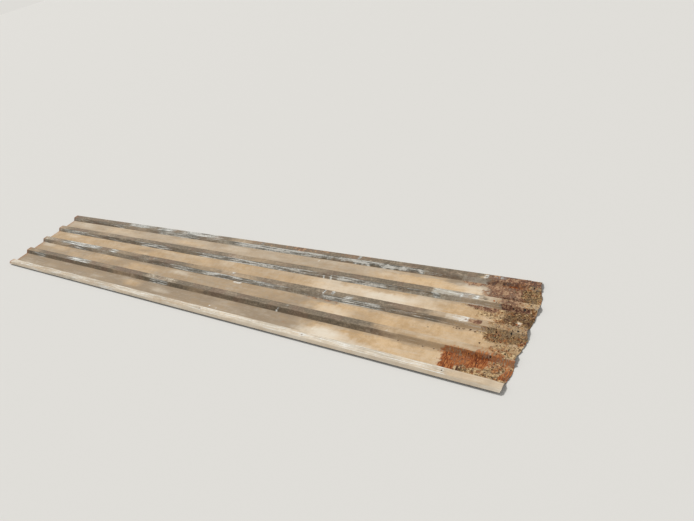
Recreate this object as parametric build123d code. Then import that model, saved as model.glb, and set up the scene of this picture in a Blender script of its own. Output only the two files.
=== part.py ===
"""Weathered roof and wall sheet: roll-formed zinc-coated steel with five ribs and four flat pans.

The sheet lies with its pans down and its ribs up. X runs along the ribs, Y across them and Z up.
The origin is the middle of the sheet at the level of the pans' undersides. The end at +X is the
rusted, ragged one; the other end is cut square.
"""

from build123d import *
import math
import os
import random

# Stock, in millimetres
LENGTH = 4800.0
THICKNESS = 0.6

# Section: ribs at an even pitch, each a flat crest between two sloping webs
RIB_COUNT = 5
PITCH = 190.5
RIB_HEIGHT = 29.0
CREST_WIDTH = 42.0
WEB_RUN = 21.0
BEND_RADIUS = 2.5

# Outer web of the first rib: it stops short, so that it can lap over the next sheet
LAP_WEB_DROP = 17.0

# Fastener holes through the crests of every other rib, in rows where the battens were
HOLE_DIAMETER = 6.5
HOLE_RIB_STEP = 2
HOLE_ROWS = 5
HOLE_ROW_PITCH = 900.0
FIRST_HOLE_ROW = 350.0

# Ragged end: how far rust has eaten it back, at even steps of a quarter pitch across the sheet
SETBACKS = (42, 40, 34, 24, 22, 28, 24, 12, 4, 20, 16, 6, 8, 1, 6, 8, 22, 34, 36)
STEPS_PER_PITCH = 4
TEETH_PER_STEP = 4
TOOTH_DEPTH = 6.0
END_SEED = 11

# Rust holes: rib number, offset from the rib's centre line, distance from the end, mean radius
RUST_HOLES = (
    (1, 7.0, 84.0, 4.6),
    (1, -27.0, 148.0, 4.2),
    (1, -33.0, 262.0, 2.8),
    (2, -9.0, 62.0, 6.0),
    (2, 11.0, 118.0, 3.8),
    (2, -29.0, 92.0, 5.4),
    (2, -34.0, 171.0, 3.2),
    (3, 5.0, 46.0, 4.8),
    (3, -28.0, 72.0, 5.8),
    (3, -31.0, 131.0, 3.8),
    (4, 10.0, 86.0, 5.2),
    (4, -12.0, 152.0, 3.4),
    (4, -29.0, 64.0, 4.8),
    (4, -32.0, 238.0, 2.8),
)
RUST_HOLE_CORNERS = 9
RUST_HOLE_SEED = 5

# Values that follow from the sizes above
WEB_ANGLE = math.atan2(RIB_HEIGHT, WEB_RUN)
FOLD_SHIFT = THICKNESS * math.tan(WEB_ANGLE / 2)
FIRST_RIB = -(RIB_COUNT - 1) / 2 * PITCH
TOP = RIB_HEIGHT + THICKNESS
LAP_WEB_RUN = LAP_WEB_DROP / math.tan(WEB_ANGLE)
TIP = THICKNESS * math.cos(WEB_ANGLE)
SEAT_WEB_RUN = (TOP - TIP) / math.tan(WEB_ANGLE)
NEAR_EDGE = FIRST_RIB - CREST_WIDTH / 2 - LAP_WEB_RUN
FAR_EDGE = -FIRST_RIB + CREST_WIDTH / 2 + SEAT_WEB_RUN
MIDDLE = (NEAR_EDGE + FAR_EDGE) / 2
CUT_MARGIN = TOP / 3


def rib_centre(number):
    """Place of a rib's centre line across the sheet, with the sheet's middle at zero."""
    return FIRST_RIB + number * PITCH - MIDDLE


def fold_corners(upper):
    """Corners of one face of the sheet's section, from the near edge to the far one."""
    inward = 0.0 if upper else FOLD_SHIFT
    drop = 0.0 if upper else THICKNESS
    half_crest = CREST_WIDTH / 2
    corners = []
    for number in range(RIB_COUNT):
        centre = rib_centre(number)
        if number > 0:
            corners.append((centre - half_crest - WEB_RUN + inward, THICKNESS - drop))
        corners.append((centre - half_crest + inward, TOP - drop))
        corners.append((centre + half_crest - inward, TOP - drop))
        if number < RIB_COUNT - 1:
            corners.append((centre + half_crest + WEB_RUN - inward, THICKNESS - drop))
    return corners


def edge_point(upper, near):
    """End of one face at a side edge, where the web is cut square to itself."""
    side = -1 if near else 1
    drop = LAP_WEB_DROP if near else TOP - TIP
    run = LAP_WEB_RUN if near else SEAT_WEB_RUN
    crest_edge = rib_centre(0 if near else RIB_COUNT - 1) + side * CREST_WIDTH / 2
    across = crest_edge + side * run
    up = TOP - drop
    if not upper:
        across -= side * THICKNESS * math.sin(WEB_ANGLE)
        up -= THICKNESS * math.cos(WEB_ANGLE)
    return (across, up)


def fold_radii(upper):
    """Radius of each fold on one face: a fold's outer face takes the sheet's thickness as well."""
    outer = BEND_RADIUS + THICKNESS
    crest, foot = (outer, BEND_RADIUS) if upper else (BEND_RADIUS, outer)
    radii = []
    for number in range(RIB_COUNT):
        if number > 0:
            radii.append(foot)
        radii += [crest, crest]
        if number < RIB_COUNT - 1:
            radii.append(foot)
    return radii


def sheet_face(upper):
    """One face of the section as straight runs joined by bends."""
    points = [edge_point(upper, True), *fold_corners(upper), edge_point(upper, False)]
    return FilletPolyline(*points, radius=fold_radii(upper))


def straight_sheet():
    """The whole sheet as it left the rolls, with both ends square."""
    start = Plane(origin=(-LENGTH / 2, 0, 0), x_dir=(0, 1, 0), z_dir=(1, 0, 0))
    with BuildPart() as sheet:
        with BuildSketch(start):
            with BuildLine():
                sheet_face(True)
                sheet_face(False)
                Line(edge_point(True, True), edge_point(False, True))
                Line(edge_point(True, False), edge_point(False, False))
            make_face()
        extrude(amount=LENGTH)
    return sheet.part


def ragged_line():
    """Outline of the rusted end across the sheet, seen from above."""
    draw = random.Random(END_SEED)
    step = PITCH / STEPS_PER_PITCH
    start = rib_centre(0) - step
    points = []
    for index in range(len(SETBACKS) - 1):
        for tooth in range(TEETH_PER_STEP):
            share = tooth / TEETH_PER_STEP
            back = SETBACKS[index] * (1 - share) + SETBACKS[index + 1] * share
            bite = draw.uniform(0, TOOTH_DEPTH) * (tooth % 2)
            shift = draw.uniform(-0.25, 0.25) / TEETH_PER_STEP
            points.append((LENGTH / 2 - back - bite, start + (index + share + shift) * step))
    points.append((LENGTH / 2 - SETBACKS[-1], start + (len(SETBACKS) - 1) * step))
    reach = max(x for x, y in points)
    return [(x + LENGTH / 2 - reach, y) for x, y in points]


def end_scrap():
    """What rust has taken from the end, as one block to cut away."""
    line = ragged_line()
    beyond = LENGTH / 2 + CUT_MARGIN
    start = (line[0][0], line[0][1] - CUT_MARGIN)
    finish = (line[-1][0], line[-1][1] + CUT_MARGIN)
    corners = [(beyond, start[1]), start, *line, finish, (beyond, finish[1])]
    with BuildPart() as scrap:
        with BuildSketch(Plane.XY.offset(-CUT_MARGIN)):
            with BuildLine():
                Polyline(*corners, close=True)
            make_face()
        extrude(amount=TOP + 2 * CUT_MARGIN)
    return scrap.part


def rust_hole_cutters():
    """Uneven rounded plugs, one for each hole that rust has eaten through a crest or a web."""
    draw = random.Random(RUST_HOLE_SEED)
    with BuildPart() as plugs:
        for rib, offset, inset, radius in RUST_HOLES:
            centre = (LENGTH / 2 - inset, rib_centre(rib) + offset)
            rim = []
            for corner in range(RUST_HOLE_CORNERS):
                angle = 2 * math.pi * corner / RUST_HOLE_CORNERS
                reach = radius * draw.uniform(0.7, 1.3)
                rim.append((centre[0] + reach * math.cos(angle), centre[1] + reach * math.sin(angle)))
            with BuildSketch(Plane.XY.offset(-CUT_MARGIN)):
                with BuildLine():
                    Spline(*rim, periodic=True)
                make_face()
            extrude(amount=TOP + 2 * CUT_MARGIN)
    return plugs.part


def fastener_hole_cutters():
    """Round plugs at the crests of every other rib, in a row for each batten."""
    with BuildPart() as plugs:
        for row in range(HOLE_ROWS):
            along = LENGTH / 2 - FIRST_HOLE_ROW - row * HOLE_ROW_PITCH
            for number in range(0, RIB_COUNT, HOLE_RIB_STEP):
                with Locations((along, rib_centre(number), TOP)):
                    Cylinder(HOLE_DIAMETER / 2, 2 * CUT_MARGIN)
    return plugs.part


def corrugated_sheet():
    """The finished sheet, with its rusted end, rust holes and fastener holes."""
    sheet = straight_sheet()
    sheet = sheet - end_scrap()
    sheet = sheet - rust_hole_cutters()
    return sheet - fastener_hole_cutters()


os.makedirs("parts", exist_ok=True)
export_step(corrugated_sheet(), "parts/corrugated_sheet.step")
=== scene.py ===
"""Looks of a weathered ribbed roof sheet: roll-formed zinc-coated steel that lies with its ribs up.

The sheet is swept from its section, pierced, crumpled at its rusted end and strewn with loose rust
scale. Dust, chalk, zinc oxide, grime and three ages of rust are painted on it as soft fields, and
the finishes break the edges of those fields up into grain, specks and streaks. Painted shade lies
along the foot of each rib and in the gaps of the rust scale, and a painted sheen on the bare zinc.
"""

import logging
import math
import random
from dataclasses import dataclass, field
from enum import Enum

import bmesh
import bpy
import numpy as np
from mathutils import Euler, Matrix, Vector

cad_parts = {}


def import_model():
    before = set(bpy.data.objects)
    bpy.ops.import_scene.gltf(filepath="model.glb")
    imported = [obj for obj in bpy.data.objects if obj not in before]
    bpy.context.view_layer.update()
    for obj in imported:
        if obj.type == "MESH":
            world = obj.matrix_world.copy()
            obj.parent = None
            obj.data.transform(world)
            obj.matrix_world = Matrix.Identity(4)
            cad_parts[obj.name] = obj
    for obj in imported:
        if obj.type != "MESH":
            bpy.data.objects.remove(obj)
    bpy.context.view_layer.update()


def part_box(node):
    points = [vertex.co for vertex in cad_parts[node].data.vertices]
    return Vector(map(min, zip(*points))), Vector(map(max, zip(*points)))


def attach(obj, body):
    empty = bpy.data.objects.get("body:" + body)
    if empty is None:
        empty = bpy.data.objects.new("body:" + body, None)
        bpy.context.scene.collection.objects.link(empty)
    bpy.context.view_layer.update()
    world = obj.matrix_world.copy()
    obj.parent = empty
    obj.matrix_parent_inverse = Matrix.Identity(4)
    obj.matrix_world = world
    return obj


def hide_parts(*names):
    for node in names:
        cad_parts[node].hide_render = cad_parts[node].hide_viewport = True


MM = 0.001
NODE = "corrugated_sheet"
BODY = "root"
SHARP_DEGREES = 40
LOG = logging.getLogger("sheet")


class Finish(Enum):
    """Soft fields painted on the sheet, each from 0 for none to 1 for full cover."""

    SHADE = "shade"
    DUST = "dust"
    CHALK = "chalk"
    # Grime, and painted shade along the foot of each rib
    GRIME_AND_PAINTED_SHADE = "grime"
    # Zinc oxide, and where it lies a painted sheen on the bare zinc
    OXIDE_AND_SHEEN = "oxide"
    SCALE = "scale"
    PITS = "pits"
    OLD_RUST = "old_rust"
    RED_RUST = "red_rust"


class Part(Enum):
    """The plain runs that a rib's pitch is made of."""

    PAN = "pan"
    CREST = "crest"
    NEAR_WEB = "near_web"
    FAR_WEB = "far_web"


class Kind(Enum):
    """Kinds of node: each one's type, its inputs in order, the output that is used and its settings."""

    OBJECT_PLACE = ("ShaderNodeTexCoord", (), "Object", {})
    MAPPING = ("ShaderNodeMapping", ("Vector", "Scale"), 0, {})
    NOISE = ("ShaderNodeTexNoise", ("Vector", "Scale", "Detail", "Roughness"), "Fac", {})
    PAINTED = ("ShaderNodeAttribute", (), "Fac", {})
    RANGE = ("ShaderNodeMapRange", (0, 1, 2, 3, 4), 0, {})
    EASED_RANGE = ("ShaderNodeMapRange", (0, 1, 2, 3, 4), 0, {"interpolation_type": "SMOOTHSTEP"})
    SUM = ("ShaderNodeMath", (0, 1), 0, {"operation": "ADD"})
    HELD_SUM = ("ShaderNodeMath", (0, 1), 0, {"operation": "ADD", "use_clamp": True})
    PRODUCT = ("ShaderNodeMath", (0, 1), 0, {"operation": "MULTIPLY"})
    LARGER = ("ShaderNodeMath", (0, 1), 0, {"operation": "MAXIMUM"})
    BLEND = ("ShaderNodeMix", (0, 2, 3), 0, {"data_type": "FLOAT"})
    MIX = ("ShaderNodeMix", (0, 6, 7), 2, {"data_type": "RGBA"})
    RAMP = ("ShaderNodeValToRGB", (0,), "Color", {})
    BUMP = ("ShaderNodeBump", ("Strength", "Distance", "Height"), 0, {})
    SHEET_STEEL = (
        "ShaderNodeBsdfPrincipled",
        ("Base Color", "Roughness", "Metallic", "Specular IOR Level", "Normal"), 0, {}
    )
    SURFACE = ("ShaderNodeOutputMaterial", ("Surface",), None, {})
    CAMERA_RAY = ("ShaderNodeLightPath", (), "Is Camera Ray", {})
    SKY = ("ShaderNodeBackground", ("Color", "Strength"), 0, {})
    EITHER = ("ShaderNodeMixShader", (0, 1, 2), 0, {})
    WORLD = ("ShaderNodeOutputWorld", ("Surface",), None, {})


SHADE, DUST, CHALK, GRIME_AND_PAINTED_SHADE, OXIDE_AND_SHEEN, SCALE, PITS, OLD_RUST, RED_RUST = Finish
PAN, CREST, NEAR_WEB, FAR_WEB = Part
Waves = tuple[tuple[float, float, int], ...]
Ramp = tuple[tuple[float, str], ...]
Value = bpy.types.NodeSocket | float | str | tuple[float, ...]


def hex_to_linear(colour: str) -> tuple[float, float, float, float]:
    """Turn an sRGB colour into the linear one that a shader takes.

    Args:
        colour: six hexadecimal digits after a hash.

    Returns:
        Red, green, blue and an alpha of one.
    """
    shares = [int(colour[k:k + 2], 16) / 255 for k in (1, 3, 5)]
    linear = [s / 12.92 if s <= 0.04045 else ((s + 0.055) / 1.055) ** 2.4 for s in shares]
    return (*linear, 1.0)


def add_node(tree: bpy.types.NodeTree, kind: Kind, *values: Value, stops: Ramp = (),
             **settings: str) -> bpy.types.NodeSocket | None:
    """Add one node to a tree, with its settings and links.

    Args:
        tree: the material's or world's tree.
        kind: the kind of node.
        *values: what its inputs take, in order: a socket to link, a number or an sRGB hex colour.
        stops: places and sRGB hex colours of a ramp.
        **settings: settings of this node alone.

    Returns:
        The output that its kind uses, or None for a node that ends the tree.
    """
    name, inputs, output, usual = kind.value
    node = tree.nodes.new(name)
    for setting, value in {**usual, **settings}.items():
        setattr(node, setting, value)
    for key, value in zip(inputs, values):
        if isinstance(value, bpy.types.NodeSocket):
            tree.links.new(value, node.inputs[key])
        else:
            node.inputs[key].default_value = hex_to_linear(value) if isinstance(value, str) else value
    for index, (place, colour) in enumerate(stops):
        elements = node.color_ramp.elements
        stop = elements[index] if index < 2 else elements.new(place)
        stop.position = place
        stop.color = hex_to_linear(colour)
    return None if output is None else node.outputs[output]


def smooth_step(value: np.ndarray) -> np.ndarray:
    """Ease a share from 0 to 1.

    Args:
        value: the share, which may pass either end.

    Returns:
        The eased share, held between 0 and 1.
    """
    share = np.clip(value, 0.0, 1.0)
    return share * share * (3 - 2 * share)


def wobble(along: np.ndarray, across: np.ndarray, size: float, seed: int) -> np.ndarray:
    """Smooth random waves over the sheet.

    Args:
        along: places along the sheet, in millimetres.
        across: places across it, in millimetres.
        size: width of a wave in millimetres.
        seed: which waves.

    Returns:
        A value from -1 to 1 for each place.
    """
    cells = 64
    lattice = np.random.default_rng(seed).uniform(-1, 1, (cells, cells))
    u, v = along / size, across / size
    i, j = np.floor(u).astype(int), np.floor(v).astype(int)
    a, b = smooth_step(u - i), smooth_step(v - j)
    near = lattice[i % cells, j % cells] * (1 - a) + lattice[(i + 1) % cells, j % cells] * a
    far = lattice[i % cells, (j + 1) % cells] * (1 - a) + lattice[(i + 1) % cells, (j + 1) % cells] * a
    return near * (1 - b) + far * b


def add_waves(along: np.ndarray, across: np.ndarray, waves: Waves, seed: int = 0) -> np.ndarray:
    """Add smooth random waves of several sizes up.

    Args:
        along: places along the sheet, in millimetres.
        across: places across it, in millimetres.
        waves: for each size its width in millimetres, its strength and its seed.
        seed: what every seed starts from.

    Returns:
        A value for each place.
    """
    return sum(wobble(along, across, size, seed + extra) * share for size, share, extra in waves)


@dataclass(frozen=True)
class Section:
    """Section of the ribbed sheet, in millimetres, with ribs counted from the near edge."""

    near_edge: float
    far_edge: float
    length: float
    top: float
    thickness: float = 0.6
    ribs: int = 5
    crest: float = 42.0
    web_run: float = 21.0
    bend_radius: float = 2.5
    lap_web_drop: float = 17.0

    @property
    def rise(self) -> float:
        """Height of a crest above a pan."""
        return self.top - self.thickness

    @property
    def web_angle(self) -> float:
        """Slope of a web, in radians."""
        return math.atan2(self.rise, self.web_run)

    @property
    def tip(self) -> float:
        """Height of the far edge, where the web is cut square to itself."""
        return self.thickness * math.cos(self.web_angle)

    @property
    def lap_run(self) -> float:
        """Width that the short outer web of the first rib takes."""
        return self.lap_web_drop / math.tan(self.web_angle)

    @property
    def seat_run(self) -> float:
        """Width that the outer web of the last rib takes."""
        return (self.top - self.tip) / math.tan(self.web_angle)

    @property
    def pitch(self) -> float:
        """Distance from one rib to the next."""
        width = self.far_edge - self.near_edge
        return (width - self.lap_run - self.seat_run - self.crest) / (self.ribs - 1)

    def rib(self, number: int) -> float:
        """Place across of a rib's centre line, with the first rib numbered 1."""
        return self.near_edge + self.lap_run + self.crest / 2 + (number - 1) * self.pitch

    def folds(self) -> list[tuple[float, float, bool]]:
        """List the folds of the upper face.

        Returns:
            For each fold its place across, its height and whether it is at a crest.
        """
        low = self.thickness
        found = []
        for number in range(1, self.ribs + 1):
            centre = self.rib(number)
            if number > 1:
                found.append((centre - self.crest / 2 - self.web_run, low, False))
            found.append((centre - self.crest / 2, self.top, True))
            found.append((centre + self.crest / 2, self.top, True))
            if number < self.ribs:
                found.append((centre + self.crest / 2 + self.web_run, low, False))
        return found

    def run(self, part: Part, number: int) -> tuple[float, float]:
        """Find one plain run of the section.

        Args:
            part: which kind of run.
            number: its pan or rib, counted from the near edge.

        Returns:
            Its far and near borders across the sheet.
        """
        half = self.crest / 2
        if part is PAN:
            return self.rib(number + 1) - half - self.web_run, self.rib(number) + half + self.web_run
        centre = self.rib(number)
        if part is CREST:
            return centre + half, centre - half
        if part is NEAR_WEB:
            return centre - half, max(centre - half - self.web_run, self.near_edge)
        return min(centre + half + self.web_run, self.far_edge), centre + half


@dataclass(frozen=True)
class RaggedEnd:
    """Outline of the end that rust has eaten back, in millimetres."""

    section: Section
    setbacks: tuple[int, ...] = (42, 40, 34, 24, 22, 28, 24, 12, 4, 20, 16, 6, 8, 1, 6, 8, 22, 34, 36)
    steps_per_pitch: int = 4
    teeth_per_step: int = 4
    tooth_depth: float = 6.0
    tooth_shift: float = 0.25
    seed: int = 11

    def corners(self) -> tuple[list[float], list[float]]:
        """Work the outline out as teeth on a slow line.

        Returns:
            Places across, rising, and how far back the end lies at each.
        """
        draw = random.Random(self.seed)
        step = self.section.pitch / self.steps_per_pitch
        start = self.section.rib(1) - step
        across, back = [], []
        for index in range(len(self.setbacks) - 1):
            for tooth in range(self.teeth_per_step):
                share = tooth / self.teeth_per_step
                slow = self.setbacks[index] * (1 - share) + self.setbacks[index + 1] * share
                bite = draw.uniform(0, self.tooth_depth) * (tooth % 2)
                shift = draw.uniform(-self.tooth_shift, self.tooth_shift) / self.teeth_per_step
                across.append(start + (index + share + shift) * step)
                back.append(slow + bite)
        across.append(start + (len(self.setbacks) - 1) * step)
        back.append(float(self.setbacks[-1]))
        least = min(back)
        return across, [b - least for b in back]


@dataclass(frozen=True)
class Stain:
    """One soft patch of a finish: where it lies on a run of the sheet, and how strong it is.

    Along is in millimetres from the rusted end. Across is a share of the run, from its far side to
    its near one, and a share outside 0 to 1 takes the stain right over that side.
    """

    finish: Finish
    along: tuple[float, float]
    amount: float = 1.0
    feather: float = 24.0
    across: tuple[float, float] = (-0.1, 1.1)


@dataclass(frozen=True)
class ScrewHoles:
    """Round holes where screws went through the crests of every other rib, in millimetres."""

    diameter: float = 6.5
    sides: int = 16
    first_row: float = 350.0
    row_pitch: float = 900.0
    row_count: int = 5
    rib_step: int = 2

    def rows(self) -> list[float]:
        """Give how far each row lies from the rusted end."""
        return [self.first_row + row * self.row_pitch for row in range(self.row_count)]

    def ribs(self, count: int) -> range:
        """Give the numbers of the ribs with holes, out of a count of ribs."""
        return range(1, count + 1, self.rib_step)


@dataclass
class SweptSheet:
    """The bare sheet: its section swept along the ribs, with its ragged end and its holes."""

    section: Section
    end: RaggedEnd
    holes: ScrewHoles
    fine_reach: float = 320.0
    fine_step: float = 5.0
    seen_reach: float = 2280.0
    seen_step: float = 12.0
    far_step: float = 90.0
    pan_step: float = 7.2
    crest_step: float = 8.0
    web_step: float = 9.0
    bend_segments: int = 2
    end_reach: float = 300.0
    fray: float = 1.6
    plug_height: float = 20.0
    rust_holes: tuple[tuple[int, float, float, float], ...] = (
        (1, 7.0, 84.0, 4.6),
        (1, -27.0, 148.0, 4.2),
        (1, -33.0, 262.0, 2.8),
        (2, -9.0, 62.0, 6.0),
        (2, 11.0, 118.0, 3.8),
        (2, -29.0, 92.0, 5.4),
        (2, -34.0, 171.0, 3.2),
        (3, 5.0, 46.0, 4.8),
        (3, -28.0, 72.0, 5.8),
        (3, -31.0, 131.0, 3.8),
        (4, 10.0, 86.0, 5.2),
        (4, -12.0, 152.0, 3.4),
        (4, -29.0, 64.0, 4.8),
        (4, -32.0, 238.0, 2.8),
    )
    rust_hole_corners: int = 9
    rust_hole_rounding: int = 3
    rust_hole_reach: tuple[float, float] = (0.7, 1.3)
    rust_hole_seed: int = 5

    def section_wire(self, shape: bmesh.types.BMesh) -> None:
        """Lay the upper face of the section as a wire of straight runs and rounded folds.

        Args:
            shape: the bmesh that takes the wire.
        """
        s = self.section
        start = -s.length / 2
        folds = s.folds()
        ends = (s.near_edge, s.top - s.lap_web_drop), (s.far_edge, s.tip)
        places = [ends[0], *((y, z) for y, z, _ in folds), ends[1]]
        corners = [shape.verts.new((start * MM, y * MM, z * MM)) for y, z in places]
        for pair in zip(corners, corners[1:]):
            shape.edges.new(pair)
        inner = corners[1:-1]
        for at_crest in (True, False):
            radius = s.bend_radius + (s.thickness if at_crest else 0.0)
            bmesh.ops.bevel(
                shape,
                geom=[corner for corner, fold in zip(inner, folds) if fold[2] is at_crest],
                offset=radius * math.tan(s.web_angle / 2) * MM,
                offset_type="OFFSET",
                segments=self.bend_segments,
                profile=0.5,
                affect="VERTICES",
                material=-1,
            )
        for edge in list(shape.edges):
            low, high = sorted(corner.co.z / MM for corner in edge.verts)
            if high - low > s.thickness / 2:
                step = self.web_step
            elif high > s.rise / 2:
                step = self.crest_step
            else:
                step = self.pan_step
            cuts = round(edge.calc_length() / (step * MM)) - 1
            if cuts > 0:
                bmesh.ops.subdivide_edges(shape, edges=[edge], cuts=cuts)

    def sweep(self, shape: bmesh.types.BMesh) -> None:
        """Draw the wire out along the ribs, in coarse rows first and fine ones at the rusted end.

        Args:
            shape: the bmesh that holds the wire.
        """
        s = self.section
        stretches = (
            (s.length - self.seen_reach, self.far_step),
            (self.seen_reach - self.fine_reach, self.seen_step),
            (self.fine_reach, self.fine_step),
        )
        row = shape.verts[:] + shape.edges[:]
        for distance, step in stretches:
            count = round(distance / step)
            drawn = bmesh.ops.spin(
                shape,
                geom=row,
                angle=0.0,
                steps=count,
                dvec=(distance / count * MM, 0.0, 0.0),
                axis=(0.0, 0.0, 1.0),
                cent=(0.0, 0.0, 0.0),
            )
            row = drawn["geom_last"]
        bmesh.ops.recalc_face_normals(shape, faces=shape.faces)
        if sum(face.normal.z for face in shape.faces) < 0:
            bmesh.ops.reverse_faces(shape, faces=shape.faces)

    def eat_end(self, shape: bmesh.types.BMesh) -> None:
        """Pull the last rows back to the ragged outline, with a finer fray on the very edge.

        Args:
            shape: the bmesh of the sheet's upper face.
        """
        across, back = self.end.corners()
        tip = self.section.length / 2
        draw = random.Random(self.end.seed)
        edge = [corner for corner in shape.verts if tip - corner.co.x / MM < self.fine_step / 2]
        fray = {corner: draw.uniform(0, self.fray) for corner in edge}
        least = min(
            float(np.interp(corner.co.y / MM, across, back)) + bite for corner, bite in fray.items()
        )
        for corner in shape.verts:
            share = 1 - (tip - corner.co.x / MM) / self.end_reach
            if share > 0:
                pull = float(np.interp(corner.co.y / MM, across, back)) + fray.get(corner, 0.0) - least
                corner.co.x -= max(pull, 0.0) * share * share * MM

    def fastener_plugs(self, plugs: bmesh.types.BMesh) -> None:
        """Add a round plug at each hole where a screw went through a crest.

        Args:
            plugs: the bmesh that takes the plugs.
        """
        s = self.section
        radius = self.holes.diameter / 2 * MM
        for row in self.holes.rows():
            for number in self.holes.ribs(s.ribs):
                bmesh.ops.create_cone(
                    plugs,
                    cap_ends=True,
                    segments=self.holes.sides,
                    radius1=radius,
                    radius2=radius,
                    depth=self.plug_height * MM,
                    matrix=Matrix.Translation(Vector((s.length / 2 - row, s.rib(number), s.top)) * MM),
                )

    def rust_plugs(self, plugs: bmesh.types.BMesh) -> None:
        """Add an uneven plug at each hole that rust has eaten through a crest or a web.

        Args:
            plugs: the bmesh that takes the plugs.
        """
        s = self.section
        draw = random.Random(self.rust_hole_seed)
        for rib, offset, inset, radius in self.rust_holes:
            reaches = [radius * draw.uniform(*self.rust_hole_reach) for _ in range(self.rust_hole_corners)]
            rim = bmesh.ops.create_circle(
                plugs, cap_ends=True, segments=self.rust_hole_corners * self.rust_hole_rounding, radius=MM
            )["verts"]
            for corner in rim:
                turn = math.atan2(corner.co.y, corner.co.x) % math.tau / math.tau * self.rust_hole_corners
                first = int(turn) % self.rust_hole_corners
                second = (first + 1) % self.rust_hole_corners
                share = (1 - math.cos((turn % 1) * math.pi)) / 2
                corner.co *= reaches[first] * (1 - share) + reaches[second] * share
            place = Vector((s.length / 2 - inset, s.rib(rib + 1) + offset, -self.plug_height / 2)) * MM
            bmesh.ops.translate(plugs, verts=rim, vec=place)
            lid = [face for face in plugs.faces if set(face.verts) == set(rim)]
            raised = bmesh.ops.extrude_face_region(plugs, geom=lid, use_keep_orig=True)["geom"]
            bmesh.ops.translate(
                plugs,
                verts=[part for part in raised if isinstance(part, bmesh.types.BMVert)],
                vec=(0, 0, (s.top + self.plug_height) * MM),
            )

    def roll(self) -> bpy.types.Object:
        """Make the sheet's upper face, with its ragged end.

        Returns:
            The sheet's object, still without thickness.
        """
        shape = bmesh.new()
        self.section_wire(shape)
        self.sweep(shape)
        self.eat_end(shape)
        return link_mesh(shape, "weathered_sheet")

    def thicken(self, sheet: bpy.types.Object) -> None:
        """Give the sheet its real thickness and its holes, as one closed mesh.

        Args:
            sheet: the sheet's object, which is changed.
        """
        s = self.section
        plugs = bmesh.new()
        self.fastener_plugs(plugs)
        self.rust_plugs(plugs)
        bmesh.ops.recalc_face_normals(plugs, faces=plugs.faces)
        cutter = link_mesh(plugs, "plugs")
        wall = sheet.modifiers.new("wall", "SOLIDIFY")
        wall.thickness = s.thickness * MM
        wall.offset = -1.0
        wall.use_even_offset = True
        wall.material_offset = 1
        pierce = sheet.modifiers.new("pierce", "BOOLEAN")
        pierce.operation = "DIFFERENCE"
        pierce.solver = "EXACT"
        pierce.object = cutter
        for name in ("weathered_galvanised_steel", "sheltered_galvanised_steel"):
            sheet.data.materials.append(bpy.data.materials.new(name))
        apply_modifiers(sheet)
        bpy.data.objects.remove(cutter)
        low = (-s.length / 2, s.near_edge, 0.0)
        high = (s.length / 2, s.far_edge, s.top)
        write_points(sheet, np.clip(read_points(sheet), low, high))


def link_mesh(shape: bmesh.types.BMesh, name: str) -> bpy.types.Object:
    """Turn a finished bmesh into an object in the scene.

    Args:
        shape: the bmesh, which is freed.
        name: name of the object and its mesh.

    Returns:
        The object, at the origin.
    """
    mesh = bpy.data.meshes.new(name)
    shape.to_mesh(mesh)
    shape.free()
    made = bpy.data.objects.new(name, mesh)
    bpy.context.scene.collection.objects.link(made)
    return made


def apply_modifiers(made: bpy.types.Object) -> None:
    """Bake an object's modifiers into its mesh.

    Args:
        made: the object.
    """
    graph = bpy.context.evaluated_depsgraph_get()
    mesh = bpy.data.meshes.new_from_object(made.evaluated_get(graph))
    made.modifiers.clear()
    made.data = mesh


def read_points(sheet: bpy.types.Object) -> np.ndarray:
    """Read a mesh's points.

    Args:
        sheet: the object.

    Returns:
        One row of x, y and z for each point, in millimetres.
    """
    places = np.empty(len(sheet.data.vertices) * 3)
    sheet.data.vertices.foreach_get("co", places)
    return places.reshape(-1, 3) / MM


def write_points(sheet: bpy.types.Object, places: np.ndarray) -> None:
    """Move a mesh's points.

    Args:
        sheet: the object.
        places: one row of x, y and z for each point, in millimetres.
    """
    sheet.data.vertices.foreach_set("co", (places * MM).ravel())
    sheet.data.update()


def read_field(sheet: bpy.types.Object, finish: Finish) -> np.ndarray:
    """Read one painted field.

    Args:
        sheet: the object.
        finish: the finish whose field is read.

    Returns:
        A share for each point.
    """
    values = np.empty(len(sheet.data.vertices), np.float32)
    sheet.data.attributes[finish.value].data.foreach_get("value", values)
    return values


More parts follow.
